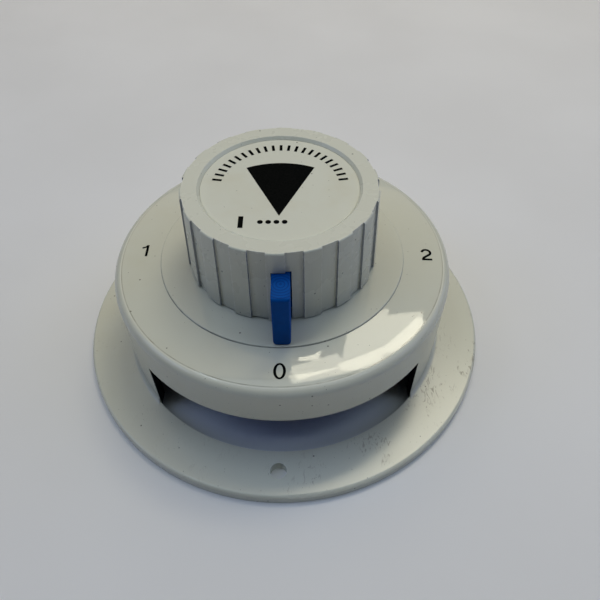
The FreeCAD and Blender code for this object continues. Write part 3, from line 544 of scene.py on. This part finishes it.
def stroke(points, width):
    """Strip of point pairs along a line, with this width."""
    strip = []
    for i, (x, y) in enumerate(points):
        before = points[max(i - 1, 0)]
        after = points[min(i + 1, len(points) - 1)]
        along = Vector((after[0] - before[0], after[1] - before[1])).normalized()
        side = Vector((-along.y, along.x)) * width / 2
        strip.append(((x + side.x, y + side.y), (x - side.x, y - side.y)))
    return strip


def arc_points(centre, radii, start, end, steps=24):
    """Points along part of an ellipse, angles in degrees from +X."""
    angles = [math.radians(start + (end - start) * i / steps) for i in range(steps + 1)]
    return [(centre[0] + radii[0] * math.cos(a), centre[1] + radii[1] * math.sin(a)) for a in angles]


def ring(centre, outer, inner, steps=48):
    """Strip between two ellipses."""
    return list(zip(arc_points(centre, outer, 0, 360, steps), arc_points(centre, inner, 0, 360, steps)))


def digit(character, centre, height, width):
    """Strips that draw a digit or a plus, upright as seen from above with the front nearest. Every part's
    place is a share of the digit's height or of half its width."""
    line = 0.155 * height
    x, y = centre
    top = y + height / 2
    bottom = y - height / 2
    half_w = (width - line) / 2
    if character == "0":
        hollow = (width / 2 - line, height / 2 - 0.75 * line)
        return [ring(centre, (width / 2, height / 2), hollow)]
    if character == "1":
        stem_x = x + 0.10 * height
        flag = [(stem_x - 0.34 * height, top - 0.25 * height), (stem_x - 0.12 * height, top - 0.17 * height),
                (stem_x, top - 0.03 * height)]
        return [stroke([(stem_x, bottom), (stem_x, top)], line), stroke(flag, line * 0.8)]
    if character == "2":
        bowl_h = 0.25 * height
        bowl = arc_points((x, top - line / 2 - bowl_h), (half_w, bowl_h), 172, -38)
        foot_y = bottom + line / 2
        neck = (x - half_w * 0.80, bottom + 0.22 * height)
        return [stroke(bowl + [neck, (x - half_w, foot_y)], line),
                stroke([(x - half_w - line * 0.45, foot_y), (x + half_w + line * 0.3, foot_y)], line)]
    across = [(x - half_w, y), (x + half_w, y)]
    upright = [(x, y - half_w), (x, y + half_w)]
    return [stroke(across, line), stroke(upright, line)]


DIGIT_H = 5.6 * MM
DIGIT_W = 3.8 * MM
BACK_MARK_Y = 49.2 * MM
DIAL_DIGITS = {
    "dial_zero": ("0", (0.0, -50.6 * MM)),
    "dial_one": ("1", (-48.5 * MM, 0.5 * MM)),
    "dial_two": ("2", (50.66 * MM, -2.1 * MM)),
}
BACK_MARK = {"1": -5.2 * MM, "plus": 0.0, "2": 4.8 * MM}


def dial_numbers(material):
    """0 at the front, 1 on the left, 2 on the right and 1+2 at the back."""
    marks = {name: digit(character, centre, DIGIT_H, DIGIT_W)
             for name, (character, centre) in DIAL_DIGITS.items()}
    marks["dial_both"] = [strip for character, x in BACK_MARK.items()
                          for strip in digit(character, (x, BACK_MARK_Y), DIGIT_H, DIGIT_W)]
    for name, strips in marks.items():
        plate(name, strips, dial_height, "housing", material)


# Marks on the knob's cap
SECTOR_APEX_Y = -14.3 * MM
SECTOR_R = 26.2 * MM
SECTOR_HALF_ANGLE = 25.1
APEX_R = 0.03 * MM            # the sector's point is this blunt
TICK_INNER_R = 18.9 * MM
TICK_OUTER_R = 22.0 * MM
TICK_SPAN = 81.0              # degrees on either side of the back
TICK_COUNT = 23
TICK_W = 0.95 * MM
CAP_ROW_Y = -17.0 * MM
DOT_R = 0.85 * MM
DOT_XS = (-5.6 * MM, -3.15 * MM, -0.7 * MM, 1.75 * MM)
BAR_X = -11.4 * MM
BAR_W = 1.5 * MM
BAR_LENGTH = 5.1 * MM


def disc(centre, radius, steps=24):
    """Strip that fills a circle."""
    rim = arc_points(centre, (radius, radius), 90, -90, steps)
    return [(point, (2 * centre[0] - point[0], point[1])) for point in rim]


def cap_marks(material):
    """Black sector that points to the front, an arc of ticks round the back, a row of dots and a bar."""
    apex = (0.0, SECTOR_APEX_Y)
    start = 90 + SECTOR_HALF_ANGLE
    end = 90 - SECTOR_HALF_ANGLE
    fan = list(zip(arc_points(apex, (APEX_R, APEX_R), start, end),
                   arc_points(apex, (SECTOR_R, SECTOR_R), start, end)))
    ticks = []
    for i in range(TICK_COUNT):
        angle = math.radians(90 + TICK_SPAN * (1 - 2 * i / (TICK_COUNT - 1)))
        ends = [(r * math.cos(angle), r * math.sin(angle)) for r in (TICK_INNER_R, TICK_OUTER_R)]
        ticks.append(stroke(ends, TICK_W))
    dots = [disc((x, CAP_ROW_Y), DOT_R) for x in DOT_XS]
    bar = stroke([(BAR_X, CAP_ROW_Y - BAR_LENGTH / 2), (BAR_X, CAP_ROW_Y + BAR_LENGTH / 2)], BAR_W)
    marks = {"cap_sector": [fan], "cap_ticks": ticks, "cap_dots": dots, "cap_bar": [bar]}
    for name, strips in marks.items():
        plate(name, strips, cap_height, "selector", material)


# ---------------------------------------------------------------- stage

FLOOR_HALF = 3.0


def make_floor():
    """Floor under the flange."""
    mesh = bpy.data.meshes.new("floor")
    corners = [(-FLOOR_HALF, -FLOOR_HALF, 0), (FLOOR_HALF, -FLOOR_HALF, 0), (FLOOR_HALF, FLOOR_HALF, 0),
               (-FLOOR_HALF, FLOOR_HALF, 0)]
    mesh.from_pydata(corners, [], [(0, 1, 2, 3)])
    mesh.materials.append(floor_material())
    floor = bpy.data.objects.new("floor", mesh)
    bpy.context.scene.collection.objects.link(floor)


def area_light(name, at, size, glow, color, turn=0.0, target=None):
    """Rectangular light of this brightness. It faces the target, or straight down if there is none."""
    data = bpy.data.lights.new(name, "AREA")
    data.shape = "RECTANGLE"
    data.size = size[0]
    data.size_y = size[1]
    data.energy = glow * math.pi * size[0] * size[1]
    data.color = color
    light = bpy.data.objects.new(name, data)
    light.location = at
    if target is None:
        light.rotation_euler = (0.0, 0.0, math.radians(turn))
    else:
        light.rotation_euler = (target - light.location).to_track_quat("-Z", "Y").to_euler()
    bpy.context.scene.collection.objects.link(light)


def make_lights():
    """Windows, ceiling and panes round a dim cool room, with a plain backdrop that lights nothing."""
    world = bpy.data.worlds.new("room")
    world.use_nodes = True
    tree = world.node_tree
    room = add(tree, "ShaderNodeBackground", {0: (*ROOM_COLOR, 1.0), 1: ROOM_STRENGTH})
    backdrop = add(tree, "ShaderNodeBackground", {0: (*BACKDROP_COLOR, 1.0), 1: 1.0})
    seen = add(tree, "ShaderNodeLightPath").outputs["Is Camera Ray"]
    blend = add(tree, "ShaderNodeMixShader", {0: seen, 1: room.outputs[0], 2: backdrop.outputs[0]})
    tree.links.new(blend.outputs[0], tree.nodes["World Output"].inputs[0])
    bpy.context.scene.world = world
    target = Vector((0.0, 0.0, CAP_TOP_Z / 2))
    for name, light in LIGHTS.items():
        area_light(name, target=target if "window" in name else None, **light)
    for name, pane in PANES.items():
        area_light(name, **pane)


def make_camera():
    """Camera above the front of the switch."""
    forward = CAMERA_FORWARD.normalized()
    right = forward.cross(Vector((0, 0, 1))).normalized()
    down = forward.cross(right)
    turned_right = right * math.cos(CAMERA_ROLL) + down * math.sin(CAMERA_ROLL)
    turned_down = down * math.cos(CAMERA_ROLL) - right * math.sin(CAMERA_ROLL)
    data = bpy.data.cameras.new("camera")
    data.lens = LENS
    data.sensor_width = SENSOR
    data.clip_start = 0.01
    camera = bpy.data.objects.new("camera", data)
    axes = Matrix((turned_right, -turned_down, -forward)).transposed()
    camera.matrix_world = Matrix.Translation(CAMERA_AT) @ axes.to_4x4()
    bpy.context.scene.collection.objects.link(camera)
    bpy.context.scene.camera = camera


dress_cad()
black = ink()
dial_numbers(black)
cap_marks(black)
make_floor()
make_lights()
make_camera()
bpy.context.scene.view_settings.view_transform = "Standard"
